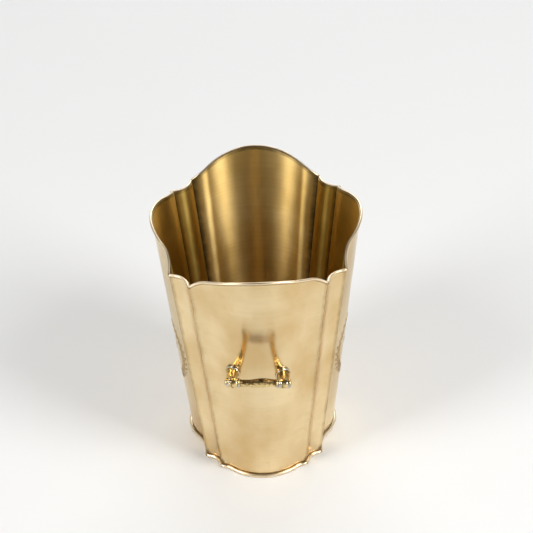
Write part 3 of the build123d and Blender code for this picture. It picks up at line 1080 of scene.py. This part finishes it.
def bar_piece(place, hands, middle, way, over, seed):
    """The grip: a wavy bar with two knobs near its tips and two collars."""
    points, radii = [], []
    for i in range(BAR_STEPS + 1):
        along = BAR_HALF_LENGTH * (2 * i / BAR_STEPS - 1)
        grip = 1 - smooth_step((abs(along) - 16) / 8)
        wave = 0.95 * math.sin(along / 7.2 + 0.6)
        swell = 0.55 * math.cos(along / 5.4 - 0.5) + 0.15 * math.sin(along / 2.9)
        knob = 0.9 * math.exp(-((abs(along) - KNOB_X) / KNOB_RUN) ** 2)
        tip = BAR_HALF_LENGTH - abs(along)
        closing = math.sqrt(max(1 - (1 - min(tip / 2.2, 1.0)) ** 2, 0.02))
        points.append(middle + way * along + over * (wave * grip)
                      + Vector((0, 0.5 * math.cos(along / 6.0) * grip, 0)))
        radii.append((BAR_R - 0.25 + swell * grip + knob) * closing)
    solids = [limb(points, radii, around=30, seed=seed, grooves=0.03, twist=0.05)]
    for hand in (-1, 1):
        collar = middle + way * (hand * COLLAR_X)
        solids.append(
            lathe(collar, way, COLLAR_PROFILE, around=30, wobble=0.10, seed=seed + hand)
        )
    bar = fuse(f"grip_{place}", solids, hands, smoothing=5)
    # The bar's top is darkened with painted shade through its mark.
    weather(bar, amount=0.16, seed=seed, top_painted_shade=0.5)
    settle(bar, "handle_brass", f"handle_bar_{place}")


def post_piece(name, node, hands, hand, knuckle, way, seed):
    """A branch that leaves the wall's flange and curls up to its knot on the bar."""
    seat, normal = seat_of(knuckle.x, FLANGE_Z - (BAR_Z - knuckle.z))
    span = (knuckle - seat).length
    leave = Vector((hand * 0.15, 1.0, -0.1)).normalized()
    first = seat + leave * (span * 0.42)
    second = knuckle - Vector((0, 0.62, 0.78)) * (span * 0.30)
    points = [seat] + cubic(seat, first, second, knuckle, POST_STEPS)
    radii = []
    for i in range(POST_STEPS + 1):
        t = i / POST_STEPS
        flare = 2.5 * math.exp(-t / 0.26)
        radii.append(POST_R + flare - 0.4 * math.sin(math.pi * t) + 0.3 * math.sin(9 * t))
    solids = [
        limb(points, radii, around=28, seed=seed + hand, grooves=0.07, twist=0.06),
        lathe(seat, normal, FLANGE_PROFILE, around=40, wobble=0.03, seed=seed + 2 * hand),
        lathe(knuckle, way, KNOT_PROFILE, around=32, wobble=0.10, seed=seed + 3 * hand),
    ]
    post = fuse(name, solids, hands, smoothing=4)
    weather(post, amount=0.24, seed=seed + 20 + hand, top_painted_shade=0.0)
    settle(post, "handle_brass", node)


def handle(place, hands):
    shift, askew = HANDLE_FIT[place]
    middle = Vector((shift, BAR_Y, BAR_Z))
    way = Vector((math.cos(askew), 0, -math.sin(askew)))
    over = Vector((math.sin(askew), 0, math.cos(askew)))
    seed = HANDLE_SEED[place]
    bar_piece(place, hands, middle, way, over, seed)
    for hand, side_name in ((1, "right"), (-1, "left")):
        post_piece(f"stem_{place}_{side_name}", f"handle_post_{place}_{side_name}", hands, hand,
                   middle + way * (hand * POST_X), way, seed)


for place, hands in ENDS.items():
    handle(place, hands)


# ---- stage, light and camera ---------------------------------------------------------------
def stage_floor():
    half = 9.0                # metres
    cells = 40
    verts, faces = [], []
    for i in range(cells + 1):
        for j in range(cells + 1):
            verts.append((half * (2 * i / cells - 1), half * (2 * j / cells - 1), 0.0))
    for i in range(cells):
        for j in range(cells):
            a = i * (cells + 1) + j
            faces.append((a, a + cells + 1, a + cells + 2, a + 1))
    mesh = bpy.data.meshes.new("studio_floor")
    mesh.from_pydata(verts, [], faces)
    material, nodes, links, shader = new_material("studio_paper")
    coords = nodes.new("ShaderNodeTexCoord").outputs["Object"]
    drift = noise_node(nodes, links, coords, (1, 1, 1), 1.3, 2.0)
    base = ramp_node(nodes, links, drift, (0.3, (0.885, 0.885, 0.88)), (0.7, (0.90, 0.90, 0.895)))
    links.new(base, shader.inputs["Base Color"])
    shader.inputs["Roughness"].default_value = 0.6
    shader.inputs["Specular IOR Level"].default_value = 0.2
    mesh.materials.append(material)
    floor = bpy.data.objects.new("studio_floor", mesh)
    bpy.context.scene.collection.objects.link(floor)


def area_light(name, place, target, width, height, power):
    data = bpy.data.lights.new(name, "AREA")
    data.shape = "RECTANGLE"
    data.size, data.size_y = width, height
    data.energy = power
    lamp = bpy.data.objects.new(name, data)
    bpy.context.scene.collection.objects.link(lamp)
    lamp.location = place
    lamp.rotation_euler = (Vector(target) - Vector(place)).to_track_quat("-Z", "Y").to_euler()


def sky():
    """Soft grey studio surroundings, paler near the floor and dark overhead."""
    world = bpy.data.worlds.new("studio")
    bpy.context.scene.world = world
    world.use_nodes = True
    nodes, links = world.node_tree.nodes, world.node_tree.links
    nodes.clear()
    output = nodes.new("ShaderNodeOutputWorld")
    background = nodes.new("ShaderNodeBackground")
    links.new(background.outputs[0], output.inputs[0])
    coords = nodes.new("ShaderNodeTexCoord").outputs["Generated"]
    split = nodes.new("ShaderNodeSeparateXYZ")
    links.new(coords, split.inputs[0])
    tone = ramp_node(nodes, links, split.outputs["Z"],
                     (0.0, (0.79,)), (0.35, (0.64,)), (0.60, (0.16,)), (1.0, (0.10,)))
    links.new(tone, background.inputs["Color"])
    background.inputs["Strength"].default_value = 1.0


stage_floor()
sky()
area_light("soft_left", (-1.97, -1.2, 1.9), (0, 0.1, 0.15), width=0.8, height=2.0, power=40)
area_light("soft_right", (1.95, -1.22, 1.9), (0, 0.1, 0.15), width=0.95, height=2.0, power=53)
area_light("soft_back", (0.2, 3.4, 2.4), (0, 0.9, 0.0), width=3.4, height=1.6, power=60)

# The camera's place and angles come from a perspective fit of the rim, creases and base.
CAMERA_ASIDE, CAMERA_BACK, CAMERA_HIGH = 9.72, 1460.6, 1349.1
DOWN = math.radians(37.44)
YAW = math.radians(0.16)
ROLL = math.radians(-1.72)
LENS = 110.5
right = Vector((math.cos(YAW), -math.sin(YAW), 0))
ahead = Vector((math.sin(YAW), math.cos(YAW), 0))
forward = ahead * math.cos(DOWN) - Vector((0, 0, math.sin(DOWN)))
up = ahead * math.sin(DOWN) + Vector((0, 0, math.cos(DOWN)))
x_axis = right * math.cos(ROLL) + up * math.sin(ROLL)
y_axis = up * math.cos(ROLL) - right * math.sin(ROLL)
camera_data = bpy.data.cameras.new("camera")
camera_data.lens = LENS
camera_data.sensor_width = 36.0
camera_data.clip_end = 50.0
camera = bpy.data.objects.new("camera", camera_data)
bpy.context.scene.collection.objects.link(camera)
turn = Matrix((x_axis, y_axis, -forward)).transposed()
viewpoint = right * CAMERA_ASIDE - ahead * CAMERA_BACK + Vector((0, 0, CAMERA_HIGH))
camera.matrix_world = Matrix.Translation(viewpoint * MM) @ turn.to_4x4()
bpy.context.scene.camera = camera
bpy.context.scene.view_settings.view_transform = "Standard"
